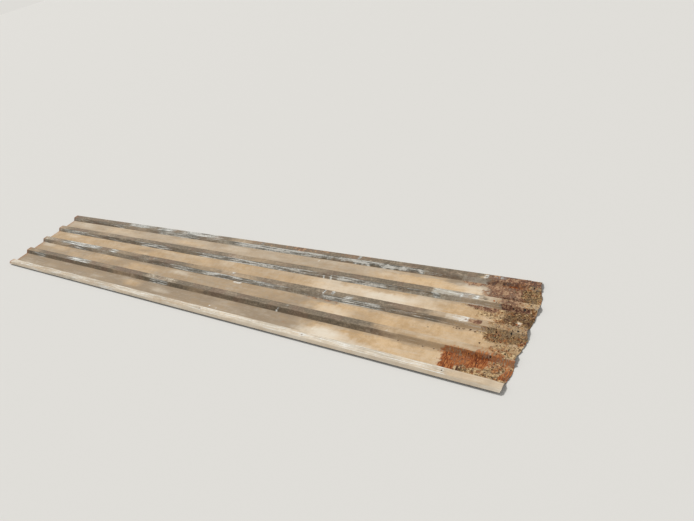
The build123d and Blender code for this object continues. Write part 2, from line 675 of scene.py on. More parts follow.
@dataclass(frozen=True)
class Crumple:
    """Small dents, waves and blisters, all inside the height of the plain sheet, in millimetres."""

    section: Section
    canning: float = 0.9
    canning_stretch: float = 3.0
    canning_waves: Waves = ((80.0, 0.5, 1),)
    end_reach: float = 190.0
    end_lift: float = 7.0
    end_waves: Waves = ((58.0, 0.65, 3), (21.0, 0.35, 4))
    side_sway: float = 3.5
    side_sway_waves: Waves = ((70.0, 1.0, 8),)
    side_margin: float = 20.0
    blister: float = 3.0
    blister_waves: Waves = ((17.0, 0.6, 5), (8.0, 0.4, 6))
    old_rust_share: float = 0.5
    red_rust_share: float = 0.35

    def swell(self, along: np.ndarray, across: np.ndarray, waves: Waves) -> np.ndarray:
        """Make waves into a value between 0 and 1, like add_waves with 0.5 on average."""
        return np.clip(0.5 + add_waves(along, across, waves), 0.0, 1.0)

    def press(self, sheet: bpy.types.Object, fields: dict[Finish, np.ndarray]) -> None:
        """Move the points of the sheet's upper face: pans only rise and crests only sink.

        Args:
            sheet: the sheet's object, still without thickness.
            fields: how much of each finish each point carries.
        """
        s = self.section
        x, y, z = read_points(sheet).T
        along = s.length / 2 - x
        height = np.clip((z - s.thickness) / s.rise, 0.0, 1.0)
        end = smooth_step(1 - along / self.end_reach)
        rust = np.maximum(fields[SCALE], self.old_rust_share * fields[OLD_RUST])
        rust = np.maximum(rust, self.red_rust_share * fields[RED_RUST])
        lift = self.canning * self.swell(along / self.canning_stretch, y, self.canning_waves)
        lift = lift + self.end_lift * end * self.swell(along, y, self.end_waves)
        lift = lift + self.blister * rust * self.swell(along, y, self.blister_waves)
        inside = smooth_step(np.minimum(y - s.near_edge, s.far_edge - y) / self.side_margin)
        sway = self.side_sway * end * add_waves(along, y, self.side_sway_waves) * inside
        lifted = np.clip(z + lift * (1 - 2 * height), np.minimum(z, s.thickness), s.top)
        write_points(sheet, np.column_stack((x, y + sway, lifted)))


@dataclass(frozen=True)
class LooseScale:
    """Flakes of rust that lie loose where the sheet is scaling, in millimetres."""

    section: Section
    count: int = 420
    corners: int = 7
    sizes: tuple[float, float] = (5.0, 15.0)
    shrink: tuple[float, float] = (0.6, 1.0)
    stretch: tuple[float, float] = (0.7, 1.4)
    taper: tuple[float, float] = (0.7, 0.95)
    thickness: tuple[float, float] = (0.8, 2.0)
    tilt: float = 0.3
    lift_share: float = 0.35
    sag_share: float = 0.4
    chipping: float = 0.25
    least_slope: float = 0.8
    least_scale: float = 0.3
    red_share: float = 0.08
    old_share: float = 0.25
    pale_share: float = 0.2
    pale_pitting: float = 0.5
    seed: int = 23

    def seats(self, sheet: bpy.types.Object) -> tuple[list[Vector], list[float]]:
        """Find where flakes can lie, in an order that doesn't hang on the order of the faces.

        Args:
            sheet: the sheet's object.

        Returns:
            Places in millimetres, and how likely a flake is at each.
        """
        scaling = read_field(sheet, SCALE)
        found = []
        for face in sheet.data.polygons:
            share = round(float(np.mean(scaling[list(face.vertices)])), 4)
            if face.normal.z > self.least_slope and share > self.least_scale:
                corners = sorted(tuple(sheet.data.vertices[index].co) for index in face.vertices)
                found.append((corners, face.center / MM, share * face.area))
        found.sort(key=lambda seat: seat[0])
        return [place for _, place, _ in found], [weight for _, _, weight in found]

    def flake(self, flakes: bmesh.types.BMesh, seat: Vector, draw: random.Random) -> None:
        """Add one flake, as a thin tapered plate that lies a little tilted.

        Args:
            flakes: the bmesh that takes it.
            seat: its place in millimetres.
            draw: the source of its random sizes.
        """
        radius = draw.uniform(*self.sizes) / 2 * draw.uniform(*self.shrink)
        depth = draw.uniform(*self.thickness)
        lean = draw.uniform(-self.tilt, self.tilt), draw.uniform(-self.tilt, self.tilt)
        turn = Euler((*lean, draw.uniform(0, math.tau))).to_matrix().to_4x4()
        stretch = Matrix.Diagonal((draw.uniform(*self.stretch), 1.0, 1.0, 1.0))
        sag = math.sin(self.tilt) * radius * self.sag_share
        place = Matrix.Translation((seat + Vector((0, 0, depth * self.lift_share - sag))) * MM)
        rim = bmesh.ops.create_cone(
            flakes,
            cap_ends=True,
            segments=self.corners,
            radius1=radius * MM,
            radius2=radius * draw.uniform(*self.taper) * MM,
            depth=depth * MM,
            matrix=place @ turn @ stretch,
        )["verts"]
        rusty, old, pale = draw.random(), draw.random(), draw.random()
        carried = {
            SCALE: 1.0,
            DUST: 1.0,
            RED_RUST: float(rusty < self.red_share),
            OLD_RUST: float(old < self.old_share),
            PITS: self.pale_pitting if pale > 1 - self.pale_share else 0.0,
        }
        chip = self.chipping
        for corner in rim:
            corner.co.x += draw.uniform(-chip, chip) * radius * MM
            corner.co.y += draw.uniform(-chip, chip) * radius * MM
            corner.co.z = min(max(corner.co.z, 0.0), self.section.top * MM)
            for finish, share in carried.items():
                corner[flakes.verts.layers.float[finish.value]] = share

    def scatter(self, sheet: bpy.types.Object) -> None:
        """Lay flakes on the scaling parts of the sheet's upper face and join them to its mesh.

        Args:
            sheet: the sheet's object, with its fields painted.
        """
        draw = random.Random(self.seed)
        places, weights = self.seats(sheet)
        chosen = draw.choices(places, weights, k=self.count)
        flakes = bmesh.new()
        for finish in Finish:
            flakes.verts.layers.float.new(finish.value)
        for seat in chosen:
            self.flake(flakes, seat, draw)
        loose = bpy.data.meshes.new("flakes")
        flakes.to_mesh(loose)
        flakes.free()
        both = bmesh.new()
        both.from_mesh(sheet.data)
        both.from_mesh(loose)
        both.to_mesh(sheet.data)
        both.free()
        bpy.data.meshes.remove(loose)


@dataclass(frozen=True)
class Spread:
    """What a plain run of the sheet carries before any stain."""

    dust: float
    chalk: float
    grime: float
    shade: float
    oxide: float = 0.0
    drift: float = 0.12


# From short of the rusted end to beyond the far one
WHOLE = (-20, 5000)

# Stains of each run of the sheet, in the order in which they lie on each other; a few are painted shade or
# painted sheen, as marked
STAINS: dict[tuple[Part, int], tuple[Stain, ...]] = {
    (PAN, 1): (
        # Grime, and painted shade along the foot of the next rib
        Stain(GRIME_AND_PAINTED_SHADE, WHOLE, 0.55, 18, (-0.1, 0.16)),
        Stain(GRIME_AND_PAINTED_SHADE, (1290, 5000), 0.95, 230),
        Stain(CHALK, (800, 1330), 0.6, 220, (0.62, 1.1)),
        Stain(CHALK, (960, 1320), 0.6, 160, (0.3, 1.1)),
        Stain(CHALK, (1040, 1240), 0.9, 70, (0.34, 1.1)),
        Stain(SCALE, (30, 180), 0.75, 40, (-0.1, 0.6)),
        Stain(SCALE, (40, 300), 0.85, 50, (0.4, 1.1)),
        Stain(RED_RUST, (-10, 80), 0.75, 24),
        Stain(RED_RUST, (130, 410), 0.95, 44, (-0.1, 0.62)),
        Stain(RED_RUST, (70, 140), 0.8, 24, (-0.1, 0.22)),
        Stain(RED_RUST, (215, 406), 0.7, 40, (-0.1, 0.82)),
        Stain(RED_RUST, (325, 408), 0.9, 34),
        Stain(PITS, (130, 400), 0.24, 30, (-0.1, 0.3)),
        Stain(RED_RUST, (30, 190), 0.5, 50, (-0.1, 0.5)),
        # Dark pits, and painted shadow along the foot of the first rib
        Stain(PITS, (60, 330), 0.48, 14, (0.84, 1.1)),
        Stain(PITS, (60, 260), 0.1, 30, (0.5, 1.1)),
        Stain(SCALE, (50, 270), 0.6, 30, (0.58, 0.82)),
        Stain(PITS, (425, 565), 0.4, 10, (-0.1, 0.05)),
        Stain(PITS, (645, 685), 0.45, 10, (-0.1, 0.05)),
        Stain(PITS, (286, 296), 0.9, 5, (0.68, 1.1)),
        Stain(GRIME_AND_PAINTED_SHADE, (1155, 1175), 1.0, 8, (0.74, 0.86)),
        Stain(RED_RUST, (1415, 1445), 0.42, 22, (0.48, 0.66)),
        Stain(RED_RUST, (1462, 1478), 0.38, 16, (0.34, 0.8)),
        Stain(OXIDE_AND_SHEEN, (2045, 2062), 0.9, 8, (0.8, 0.9)),
        Stain(OXIDE_AND_SHEEN, (2112, 2130), 0.9, 8, (0.72, 0.84)),
    ),
    (PAN, 2): (
        # Grime, and painted shade along the foot of the next rib
        Stain(GRIME_AND_PAINTED_SHADE, WHOLE, 0.5, 18, (-0.1, 0.16)),
        Stain(CHALK, (1080, 1330), 0.4, 200, (0.25, 1.1)),
        Stain(GRIME_AND_PAINTED_SHADE, (1220, 5000), 0.6, 90, (-0.1, 0.4)),
        Stain(GRIME_AND_PAINTED_SHADE, (900, 1090), 0.35, 120, (0.3, 1.1)),
        Stain(GRIME_AND_PAINTED_SHADE, (1420, 5000), 0.74, 260),
        Stain(GRIME_AND_PAINTED_SHADE, (1300, 1460), 0.5, 60, (0.4, 0.8)),
        Stain(GRIME_AND_PAINTED_SHADE, (1300, 1900), 0.8, 200, (0.66, 1.1)),
        Stain(SCALE, (-20, 275), 0.85, 60, (-0.1, 0.6)),
        Stain(SCALE, (-20, 170), 0.58, 60, (0.5, 1.1)),
        Stain(GRIME_AND_PAINTED_SHADE, (-20, 330), 0.5, 80, (-0.1, 0.3)),
        Stain(RED_RUST, (-10, 42), 0.8, 16, (0.05, 0.45)),
        Stain(PITS, (-20, 230), 0.36, 50, (-0.1, 0.58)),
        Stain(PITS, (-20, 160), 0.18, 50, (0.5, 1.1)),
        Stain(PITS, (250, 470), 0.42, 14, (-0.1, 0.08)),
        Stain(PITS, (384, 396), 0.6, 5, (0.4, 0.49)),
        Stain(PITS, (546, 558), 0.66, 5, (0.4, 0.49)),
        Stain(PITS, (234, 246), 0.62, 5, (0.76, 0.86)),
        Stain(OLD_RUST, (1185, 1460), 0.6, 14, (-0.1, 0.12)),
        Stain(GRIME_AND_PAINTED_SHADE, (1175, 1470), 1.0, 16, (-0.1, 0.18)),
        Stain(GRIME_AND_PAINTED_SHADE, (1255, 1275), 1.0, 12, (0.42, 0.54)),
        Stain(OXIDE_AND_SHEEN, (2030, 2130), 0.6, 12, (0.0, 0.16)),
    ),
    (PAN, 3): (
        # Grime, and painted shade along the foot of the next rib
        Stain(GRIME_AND_PAINTED_SHADE, WHOLE, 0.5, 18, (-0.1, 0.16)),
        Stain(CHALK, (620, 1450), 0.55, 300),
        Stain(CHALK, (760, 1060), 0.85, 120, (0.3, 1.1)),
        Stain(CHALK, (700, 1300), 0.12, 60, (-0.1, 0.3)),
        Stain(GRIME_AND_PAINTED_SHADE, (700, 1500), 0.36, 60, (-0.1, 0.3)),
        Stain(GRIME_AND_PAINTED_SHADE, (1480, 5000), 0.38, 400),
        Stain(SCALE, (-20, 205), 0.9, 70),
        Stain(SCALE, (150, 340), 0.62, 60, (-0.1, 0.8)),
        Stain(PITS, (-20, 175), 0.42, 50),
        Stain(OLD_RUST, (215, 385), 0.85, 30, (-0.1, 0.38)),
        Stain(PITS, (345, 410), 0.45, 16, (0.0, 0.16)),
        Stain(SCALE, (60, 98), 0.3, 10, (0.62, 0.9)),
        Stain(PITS, (60, 98), 0.0, 10, (0.62, 0.9)),
        Stain(CHALK, (60, 98), 0.9, 10, (0.62, 0.9)),
    ),
    (PAN, 4): (
        # Grime, and painted shade along the foot of the next rib, broad near the rusted end
        Stain(GRIME_AND_PAINTED_SHADE, WHOLE, 0.55, 26, (-0.1, 0.26)),
        Stain(GRIME_AND_PAINTED_SHADE, (300, 560), 0.9, 40, (-0.1, 0.4)),
        Stain(GRIME_AND_PAINTED_SHADE, (1080, 5000), 0.72, 160),
        Stain(CHALK, (1080, 5000), 0.24, 160),
        Stain(CHALK, (900, 1080), 0.2, 120),
        Stain(CHALK, (300, 490), 0.5, 90, (0.05, 1.1)),
        Stain(SCALE, (-20, 160), 0.95, 60),
        Stain(PITS, (-20, 150), 0.3, 50),
        Stain(PITS, (60, 230), 0.5, 16, (0.8, 1.0)),
        Stain(GRIME_AND_PAINTED_SHADE, (140, 336), 0.8, 24),
        Stain(OLD_RUST, (120, 336), 0.76, 34),
        Stain(OLD_RUST, (320, 490), 0.72, 24, (-0.1, 0.24)),
        Stain(PITS, (480, 620), 0.3, 16, (-0.1, 0.07)),
        Stain(PITS, (196, 226), 1.0, 5, (0.86, 0.94)),
        Stain(OXIDE_AND_SHEEN, (1558, 1582), 0.75, 12, (0.16, 0.4)),
        Stain(OXIDE_AND_SHEEN, (1606, 1626), 0.75, 10, (0.05, 0.15)),
    ),
    (CREST, 1): (
        Stain(DUST, WHOLE, 0.66),
        Stain(SHADE, WHOLE, 0.22),
        Stain(CHALK, WHOLE, 0.76),
        Stain(OXIDE_AND_SHEEN, (300, 5000), 0.22, 120),
        Stain(GRIME_AND_PAINTED_SHADE, WHOLE, 0.1),
        Stain(CHALK, (-20, 330), 0.42, 160),
        Stain(CHALK, (860, 1200), 0.86, 160),
        Stain(GRIME_AND_PAINTED_SHADE, (1300, 1480), 0.3, 160),
        Stain(GRIME_AND_PAINTED_SHADE, (2300, 5000), 0.5, 500),
        Stain(PITS, (382, 388), 0.4, 5),
        Stain(OXIDE_AND_SHEEN, (1095, 1135), 0.5, 20, (0.1, 0.8)),
        Stain(OXIDE_AND_SHEEN, (1235, 1285), 0.55, 20, (0.3, 1.0)),
    ),
    (NEAR_WEB, 1): (
        Stain(DUST, WHOLE, 1.0),
        Stain(CHALK, WHOLE, 0.8),
        Stain(OXIDE_AND_SHEEN, WHOLE, 0.0),
        Stain(GRIME_AND_PAINTED_SHADE, WHOLE, 0.05),
        Stain(SHADE, WHOLE, 0.1),
    ),
    (CREST, 2): (
        Stain(DUST, (-20, 830), 0.82, 320),
        Stain(DUST, (-20, 560), 0.92, 100),
        Stain(GRIME_AND_PAINTED_SHADE, (-20, 480), 0.26, 300),
        Stain(SHADE, (1050, 1500), 1.0, 200),
        Stain(RED_RUST, (60, 220), 0.4, 60),
        Stain(RED_RUST, (60, 260), 0.6, 36, (0.5, 1.1)),
        Stain(RED_RUST, (240, 410), 0.46, 24, (0.76, 1.1)),
        Stain(SCALE, (-20, 150), 0.68, 60),
        Stain(OXIDE_AND_SHEEN, (734, 748), 0.9, 8, (0.6, 0.9)),
        Stain(OXIDE_AND_SHEEN, (1492, 1508), 0.9, 8, (0.3, 0.6)),
    ),
    (NEAR_WEB, 2): (
        Stain(DUST, (-20, 760), 0.8, 300),
        Stain(DUST, (-20, 450), 0.9, 60),
        Stain(SHADE, WHOLE, 0.65),
        Stain(OXIDE_AND_SHEEN, WHOLE, 0.0),
        Stain(SHADE, (860, 5000), 0.92, 300),
        Stain(RED_RUST, (-20, 405), 0.64, 44),
        Stain(RED_RUST, (120, 290), 0.84, 30, (0.5, 1.1)),
        Stain(OXIDE_AND_SHEEN, (1544, 1556), 0.9, 6, (0.0, 0.3)),
        Stain(OXIDE_AND_SHEEN, (1569, 1581), 0.9, 6, (0.8, 1.1)),
    ),
    (CREST, 3): (
        Stain(DUST, (-20, 620), 0.75, 260),
        Stain(SHADE, (860, 1095), 0.95, 40),
        Stain(SCALE, (-20, 235), 0.52, 70),
        Stain(OLD_RUST, (-20, 60), 0.45, 40),
        Stain(PITS, (-20, 225), 0.18, 50),
        Stain(OLD_RUST, (250, 312), 0.85, 20, (0.05, 0.95)),
        Stain(DUST, (320, 470), 0.8, 40),
        Stain(CHALK, (320, 470), 0.55, 30),
        Stain(OXIDE_AND_SHEEN, (335, 455), 0.34, 40, (0.0, 0.9)),
        Stain(OXIDE_AND_SHEEN, (1098, 1150), 0.34, 24, (0.2, 1.1)),
        Stain(OXIDE_AND_SHEEN, (1314, 1328), 0.6, 8, (0.1, 0.9)),
        Stain(DUST, (1880, 2300), 0.55, 120),
    ),
    (NEAR_WEB, 3): (
        Stain(DUST, (-20, 480), 0.85, 160),
        Stain(SCALE, (-20, 255), 0.7, 90),
        Stain(OLD_RUST, (-20, 240), 0.25, 50),
        Stain(PITS, (20, 250), 0.16, 40),
        Stain(DUST, (480, 700), 0.4, 160),
        Stain(SHADE, (480, 880), 0.8, 120),
        Stain(OXIDE_AND_SHEEN, (880, 1310), 0.38, 80),
        # Painted shadow line along the foot of the web
        Stain(SHADE, (900, 5000), 1.0, 10, (0.76, 1.1)),
        Stain(SHADE, (1300, 1760), 0.6, 80),
        # Long soft bands of oxide and painted sheen along the web
        Stain(OXIDE_AND_SHEEN, (1700, 2500), 0.3, 200),
        Stain(OXIDE_AND_SHEEN, (1800, 2500), 0.5, 120, (-0.1, 0.5)),
    ),
    (CREST, 4): (
        Stain(DUST, (-20, 330), 0.85, 60),
        Stain(OLD_RUST, (80, 205), 0.72, 50),
        Stain(SCALE, (-20, 110), 0.62, 50),
        Stain(SCALE, (90, 250), 0.42, 40),
        Stain(CHALK, (190, 330), 0.4, 40),
        Stain(SHADE, (330, 640), 0.3, 60),
        Stain(OXIDE_AND_SHEEN, (340, 620), 0.2, 60),
        Stain(OXIDE_AND_SHEEN, (335, 352), 0.7, 8, (0.1, 1.0)),
        Stain(OXIDE_AND_SHEEN, (424, 438), 0.7, 8, (0.2, 1.1)),
        Stain(OXIDE_AND_SHEEN, (606, 622), 0.7, 10, (0.3, 0.9)),
        Stain(SHADE, (860, 1340), 1.0, 100),
        Stain(DUST, (1700, 2300), 0.4, 240),
    ),
    (NEAR_WEB, 4): (
        Stain(OLD_RUST, (30, 204), 0.95, 30),
        Stain(SCALE, (-20, 60), 0.9, 24),
        Stain(DUST, (200, 480), 0.5, 60),
        Stain(SHADE, (345, 900), 0.42, 60),
        Stain(OXIDE_AND_SHEEN, (560, 640), 0.5, 30, (-0.1, 0.5)),
        Stain(OXIDE_AND_SHEEN, (900, 1310), 0.38, 100),
        Stain(SHADE, (620, 960), 1.0, 14, (-0.1, 0.4)),
        # Painted shadow line along the foot of the web
        Stain(SHADE, (1450, 5000), 1.0, 10, (0.76, 1.1)),
        Stain(OXIDE_AND_SHEEN, (1362, 1378), 0.9, 8, (0.0, 1.1)),
        Stain(OXIDE_AND_SHEEN, (1428, 1442), 0.9, 8, (0.0, 1.1)),
        # Long soft bands of oxide and painted sheen along the web
        Stain(OXIDE_AND_SHEEN, (1560, 2450), 0.32, 200),
        Stain(OXIDE_AND_SHEEN, (1620, 2450), 0.54, 120, (-0.1, 0.55)),
    ),
    (CREST, 5): (
        Stain(OLD_RUST, (-20, 340), 0.66, 50),
        Stain(PITS, (50, 210), 0.2, 30, (-0.1, 0.7)),
        Stain(OLD_RUST, (-20, 200), 0.82, 50),
        Stain(RED_RUST, (20, 240), 0.2, 30, (0.6, 1.1)),
        Stain(OXIDE_AND_SHEEN, (250, 305), 0.5, 24, (0.1, 0.9)),
        Stain(CHALK, (352, 380), 0.5, 24, (0.0, 1.1)),
        Stain(DUST, (350, 382), 0.7, 30),
        Stain(OLD_RUST, (1100, 2300), 0.34, 60, (-0.1, 0.8)),
        Stain(OLD_RUST, (1740, 1840), 0.6, 40),
    ),
    (NEAR_WEB, 5): (
        Stain(RED_RUST, (-20, 155), 0.36, 40),
        Stain(RED_RUST, (60, 250), 0.7, 12, (0.78, 1.1)),
        Stain(SCALE, (-20, 120), 0.7, 30),
        Stain(OLD_RUST, (100, 345), 0.78, 40),
        Stain(SHADE, (350, 480), 0.25, 30),
        Stain(SHADE, (480, 720), 0.6, 60),
        Stain(SHADE, (720, 5000), 0.5, 60),
        Stain(OXIDE_AND_SHEEN, (740, 1720), 0.42, 30),
        # Painted shadow line along the foot of the web, kept clear of oxide
        Stain(OXIDE_AND_SHEEN, WHOLE, 0.05, 8, (0.78, 1.1)),
        Stain(SHADE, (740, 5000), 1.0, 10, (0.72, 1.1)),
        Stain(OXIDE_AND_SHEEN, (748, 784), 0.95, 12, (0.1, 0.9)),
        Stain(OXIDE_AND_SHEEN, (868, 934), 0.85, 14, (0.1, 0.9)),
        Stain(OXIDE_AND_SHEEN, (968, 1082), 0.8, 16, (0.2, 0.9)),
        Stain(OXIDE_AND_SHEEN, (1148, 1310), 0.8, 18, (0.1, 1.0)),
        # Long soft bands of oxide and painted sheen along the web
        Stain(OXIDE_AND_SHEEN, (1700, 2450), 0.36, 200),
        Stain(OXIDE_AND_SHEEN, (1700, 2450), 0.62, 120, (-0.1, 0.6)),
    ),
}


@dataclass
class Weathering:
    """Years of weather on the sheet: soft fields of dust, chalk, grime, oxide and rust, in millimetres,
    with painted shade along the foot of each rib and a painted sheen on the bare zinc.
    """

    section: Section
    holes: ScrewHoles
    border_slack: float = 0.01
    overrun: float = 20.0
    corner_reach: float = 1.6
    side_share: float = 0.3
    along_waves: Waves = ((85.0, 0.8, 4), (30.0, 0.8, 0), (11.0, 0.5, 1))
    along_push: float = 40.0
    across_waves: Waves = ((60.0, 0.6, 5), (22.0, 0.6, 2), (9.0, 0.5, 3))
    across_push: float = 12.0
    drift: float = 1.6
    drift_waves: tuple[tuple[float, float, float, int], ...] = ((4, 46.0, 0.6, 60), (5, 12.0, 0.4, 70))
    resting: dict[Part, Spread] = field(default_factory=lambda: {
        PAN: Spread(dust=0.95, chalk=0.06, grime=0.06, shade=0.4),
        CREST: Spread(dust=0.12, chalk=0.10, grime=0.45, shade=0.90, drift=0.16),
        NEAR_WEB: Spread(dust=0.10, chalk=0.10, grime=0.40, shade=0.6, oxide=0.12, drift=0.16),
        FAR_WEB: Spread(dust=0.35, chalk=0.15, grime=0.45, shade=0.60, oxide=0.10, drift=0.16),
    })
    far_starts: dict[Part, float] = field(default_factory=lambda: {
        PAN: 2250.0, CREST: 2250.0, NEAR_WEB: 2250.0, FAR_WEB: 300.0,
    })
    far_lengths: tuple[float, float] = (60, 420)
    far_gaps: tuple[float, float] = (-60, 260)
    far_pan_finishes: tuple[tuple[Finish, float], ...] = (
        (CHALK, 0.3), (GRIME_AND_PAINTED_SHADE, 0.85), (GRIME_AND_PAINTED_SHADE, 0.35), (CHALK, 0.45)
    )
    far_pan_sides: tuple[float, float] = (-0.2, 0.5)
    far_pan_widths: tuple[float, float] = (0.4, 0.9)
    far_pan_feather: float = 90
    far_rib_finishes: tuple[tuple[Finish, float], ...] = (
        (OXIDE_AND_SHEEN, 0.4), (SHADE, 1.0), (DUST, 0.5), (SHADE, 0.4)
    )
    far_edge_chalk: tuple[float, float] = (0.3, 0.8)
    far_rib_feather: float = 110
    far_seed: int = 41

    def hole_marks(self, part: Part, number: int) -> list[Stain]:
        """Give the pale ring that each washer left, and the rust that has started in it.

        Args:
            part: the kind of run.
            number: its number from the near edge.

        Returns:
            The stains, for a crest with holes.
        """
        if part is not CREST or number not in self.holes.ribs(self.section.ribs):
            return []
        marks = []
        for row in self.holes.rows():
            marks.append(Stain(OXIDE_AND_SHEEN, (row - 14, row + 14), 0.45, 8, (0.15, 0.85)))
            marks.append(Stain(RED_RUST, (row - 5, row + 9), 0.6, 6, (0.36, 0.64)))
        return marks

    def far_stains(self, part: Part, number: int) -> list[Stain]:
        """Make up the stains of what lies far from the rusted end, like those of the near half.

        Args:
            part: the kind of run.
            number: its number from the near edge.

        Returns:
            The stains, with those of the cut end last.
        """
        length = self.section.length
        draw = random.Random(self.far_seed + number * 10 + list(Part).index(part))
        found = []
        place = self.far_starts[part]
        while place < length:
            stop = place + draw.uniform(*self.far_lengths)
            if part is PAN:
                finish, amount = draw.choice(self.far_pan_finishes)
                low = draw.uniform(*self.far_pan_sides)
                across = (low, low + draw.uniform(*self.far_pan_widths))
                found.append(Stain(finish, (place, stop), amount, self.far_pan_feather, across))
            elif part is CREST and number == 1:
                amount = draw.uniform(*self.far_edge_chalk)
                found.append(Stain(CHALK, (place, stop), amount, self.far_rib_feather))
            else:
                finish, amount = draw.choice(self.far_rib_finishes)
                found.append(Stain(finish, (place, stop), amount, self.far_rib_feather))
            place = stop + draw.uniform(*self.far_gaps)
        if part is FAR_WEB:
            found.append(Stain(SCALE, (-20, 180), 0.75, 50))
            found.append(Stain(OLD_RUST, (120, 300), 0.6, 50))
        found.append(Stain(RED_RUST, (length - 12, length + 20), 0.5, 14))
        return found

    def masks(self, along: np.ndarray, across: np.ndarray, borders: tuple[float, float],
              stain: Stain) -> np.ndarray:
        """Work out how much of a stain each place gets.

        Args:
            along: places along the sheet, in millimetres from the rusted end.
            across: places across it, in millimetres.
            borders: the run's far and near borders.
            stain: the stain.

        Returns:
            A share for each place.
        """
        far, near = borders
        width = far - near
        # Where a stain starts decides its waves, so that no two have the same outline
        seed = int(stain.along[0] * 7 + stain.across[0] * 31) % 997
        edge = stain.feather
        push = add_waves(along, across, self.along_waves, seed) * min(edge, self.along_push)
        shift = add_waves(along, across, self.across_waves, seed) * min(edge, self.across_push)
        u = along + push
        v = far - across + shift
        left, right = (share * width * (1 if 0 <= share <= 1 else self.overrun) for share in stain.across)
        inset_along = np.minimum(u - stain.along[0], stain.along[1] - u) / edge
        inset_across = np.minimum(v - left, right - v) / min(edge, width * self.side_share)
        corner = self.corner_reach
        outside = np.hypot(np.maximum(corner - inset_along, 0), np.maximum(corner - inset_across, 0))
        return smooth_step(corner - outside + 0.5)

    def fields(self, places: np.ndarray) -> dict[Finish, np.ndarray]:
        """Work every field out.

        Args:
            places: points of the sheet, as rows of x, y and z in millimetres.

        Returns:
            For each finish a share for each point.
        """
        s = self.section
        along = s.length / 2 - places[:, 0]
        across = places[:, 1]
        fields = {finish: np.zeros(len(along)) for finish in Finish}
        for part, spread in self.resting.items():
            count = s.ribs - 1 if part is PAN else s.ribs
            for number in range(1, count + 1):
                far, near = s.run(part, number)
                here = (across <= far + self.border_slack) & (across >= near - self.border_slack)
                u, v = along[here], across[here]
                for finish in (DUST, CHALK, GRIME_AND_PAINTED_SHADE, SHADE, OXIDE_AND_SHEEN):
                    fields[finish][here] = getattr(spread, finish.value)
                stains = [*STAINS.get((part, number), ()), *self.far_stains(part, number)]
                for stain in stains + self.hole_marks(part, number):
                    share = self.masks(u, v, (far, near), stain)
                    old = fields[stain.finish][here]
                    fields[stain.finish][here] = old + (stain.amount - old) * share
                for seed, finish in enumerate((DUST, CHALK, GRIME_AND_PAINTED_SHADE, SHADE)):
                    waves = sum(
                        wobble(u / stretch, v, size, first + seed) * share
                        for stretch, size, share, first in self.drift_waves
                    )
                    fields[finish][here] += waves * spread.drift * self.drift
        return {finish: np.clip(values, 0.0, 1.0) for finish, values in fields.items()}

    def paint(self, sheet: bpy.types.Object) -> None:
        """Write every field on the sheet's points.

        Args:
            sheet: the sheet's object.
        """
        for finish, values in self.fields(read_points(sheet)).items():
            layer = sheet.data.attributes.new(finish.value, "FLOAT", "POINT")
            layer.data.foreach_set("value", values.astype(np.float32))


@dataclass(frozen=True)
class Cloud:
    """Cloudy noise of one real size, about 0.5 on average."""

    width: float
    detail: float
    rough: float = 0.6
    squeeze: tuple[float, float, float] | None = None


